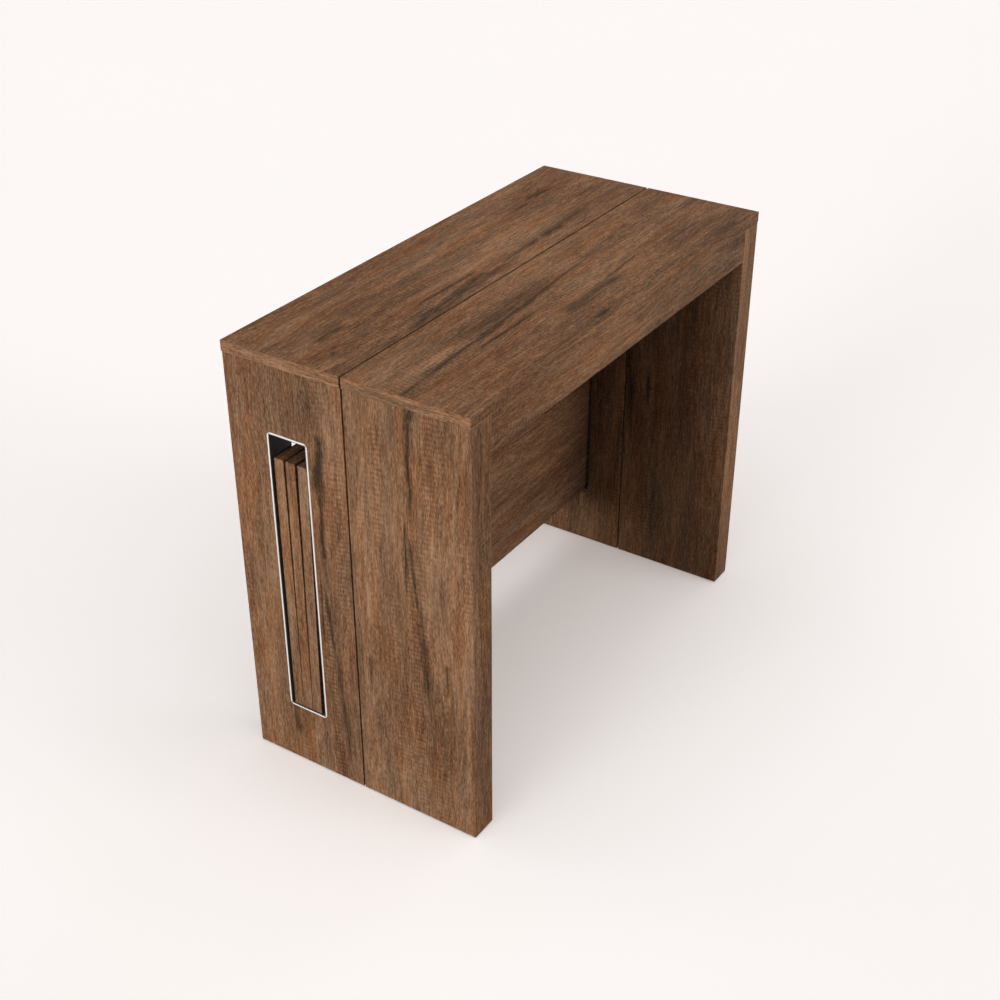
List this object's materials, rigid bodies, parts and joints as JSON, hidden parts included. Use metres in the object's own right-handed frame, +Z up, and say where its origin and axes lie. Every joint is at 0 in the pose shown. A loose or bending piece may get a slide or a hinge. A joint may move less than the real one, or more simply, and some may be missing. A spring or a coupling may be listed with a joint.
{
  "type": "extending console table",
  "caption": "Narrow console table on panel legs that pulls apart on telescopic rails; loose leaves stand in slots through its rear legs.",
  "frame": {"origin": "floor level, at the middle of the closed table's footprint", "axes": "+X along the table, +Y to the back, +Z up; the front frame pulls out towards -Y"},
  "size_m": [0.9, 0.44, 0.756],
  "materials": {
    "walnut_board": "rough-sawn walnut decor on board",
    "slot_aluminium": "satin",
    "rail_aluminium": "mill extruded",
    "nylon": "moulded",
    "zinc_steel": "zinc plated",
    "beech": "raw turned",
    "glide_plastic": "moulded",
    "clear_rubber": "soft clear"
  },
  "bodies": {
    "rear_frame": {"rear_top": "walnut_board", "rear_left_leg": "walnut_board", "rear_right_leg": "walnut_board", "rear_apron": "walnut_board", "rear_dowels": "beech", "rear_cam_fittings": "zinc_steel", "rear_glides": "glide_plastic", "rear_rail_brackets": "zinc_steel", "rear_rail_screws": "zinc_steel", "left_slot_sleeve": "slot_aluminium", "right_slot_sleeve": "slot_aluminium", "seam_bumpers": "clear_rubber", "left_rail_1": "rail_aluminium", "right_rail_1": "rail_aluminium", "rear_rail_stops": "nylon"},
    "front_frame": {"front_top": "walnut_board", "front_left_leg": "walnut_board", "front_right_leg": "walnut_board", "front_apron": "walnut_board", "front_dowels": "beech", "front_cam_fittings": "zinc_steel", "front_glides": "glide_plastic", "front_rail_brackets": "zinc_steel", "front_rail_screws": "zinc_steel", "front_top_pins": "beech", "left_rail_6": "rail_aluminium", "right_rail_6": "rail_aluminium", "front_rail_sliders": "nylon"},
    "left_stage_2": {"left_rail_2": "rail_aluminium", "left_slider_2": "nylon", "left_stop_2": "nylon"},
    "left_stage_3": {"left_rail_3": "rail_aluminium", "left_slider_3": "nylon", "left_stop_3": "nylon"},
    "left_stage_4": {"left_rail_4": "rail_aluminium", "left_slider_4": "nylon", "left_stop_4": "nylon"},
    "left_stage_5": {"left_rail_5": "rail_aluminium", "left_slider_5": "nylon", "left_stop_5": "nylon"},
    "right_stage_2": {"right_rail_2": "rail_aluminium", "right_slider_2": "nylon", "right_stop_2": "nylon"},
    "right_stage_3": {"right_rail_3": "rail_aluminium", "right_slider_3": "nylon", "right_stop_3": "nylon"},
    "right_stage_4": {"right_rail_4": "rail_aluminium", "right_slider_4": "nylon", "right_stop_4": "nylon"},
    "right_stage_5": {"right_rail_5": "rail_aluminium", "right_slider_5": "nylon", "right_stop_5": "nylon"},
    "leaf_1": {"leaf_1": "walnut_board", "leaf_1_pins": "beech"},
    "leaf_2": {"leaf_2": "walnut_board", "leaf_2_pins": "beech"},
    "leaf_3": {"leaf_3": "walnut_board", "leaf_3_pins": "beech"}
  },
  "joints": [
    {"name": "table_extension", "type": "slide", "parent": "rear_frame", "child": "front_frame", "axis": [0, -1, 0], "range_m": [0, 1.395]},
    {"name": "left_stage_2_slide", "type": "slide", "parent": "rear_frame", "child": "left_stage_2", "axis": [0, -1, 0], "range_m": [0, 0.279]},
    {"name": "left_stage_3_slide", "type": "slide", "parent": "rear_frame", "child": "left_stage_3", "axis": [0, -1, 0], "range_m": [0, 0.558]},
    {"name": "left_stage_4_slide", "type": "slide", "parent": "rear_frame", "child": "left_stage_4", "axis": [0, -1, 0], "range_m": [0, 0.837]},
    {"name": "left_stage_5_slide", "type": "slide", "parent": "rear_frame", "child": "left_stage_5", "axis": [0, -1, 0], "range_m": [0, 1.116]},
    {"name": "right_stage_2_slide", "type": "slide", "parent": "rear_frame", "child": "right_stage_2", "axis": [0, -1, 0], "range_m": [0, 0.279]},
    {"name": "right_stage_3_slide", "type": "slide", "parent": "rear_frame", "child": "right_stage_3", "axis": [0, -1, 0], "range_m": [0, 0.558]},
    {"name": "right_stage_4_slide", "type": "slide", "parent": "rear_frame", "child": "right_stage_4", "axis": [0, -1, 0], "range_m": [0, 0.837]},
    {"name": "right_stage_5_slide", "type": "slide", "parent": "rear_frame", "child": "right_stage_5", "axis": [0, -1, 0], "range_m": [0, 1.116]},
    {"name": "leaf_1_slide", "type": "slide", "parent": "rear_frame", "child": "leaf_1", "axis": [-1, 0, 0], "range_m": [-0.9, 0.9]},
    {"name": "leaf_2_slide", "type": "slide", "parent": "rear_frame", "child": "leaf_2", "axis": [-1, 0, 0], "range_m": [-0.9, 0.9]},
    {"name": "leaf_3_slide", "type": "slide", "parent": "rear_frame", "child": "leaf_3", "axis": [-1, 0, 0], "range_m": [-0.9, 0.9]}
  ],
  "couplings": [
    {"joint": "left_stage_2_slide", "follows": "table_extension", "ratio": 0.2},
    {"joint": "left_stage_3_slide", "follows": "table_extension", "ratio": 0.4},
    {"joint": "left_stage_4_slide", "follows": "table_extension", "ratio": 0.6},
    {"joint": "left_stage_5_slide", "follows": "table_extension", "ratio": 0.8},
    {"joint": "right_stage_2_slide", "follows": "table_extension", "ratio": 0.2},
    {"joint": "right_stage_3_slide", "follows": "table_extension", "ratio": 0.4},
    {"joint": "right_stage_4_slide", "follows": "table_extension", "ratio": 0.6},
    {"joint": "right_stage_5_slide", "follows": "table_extension", "ratio": 0.8}
  ]
}
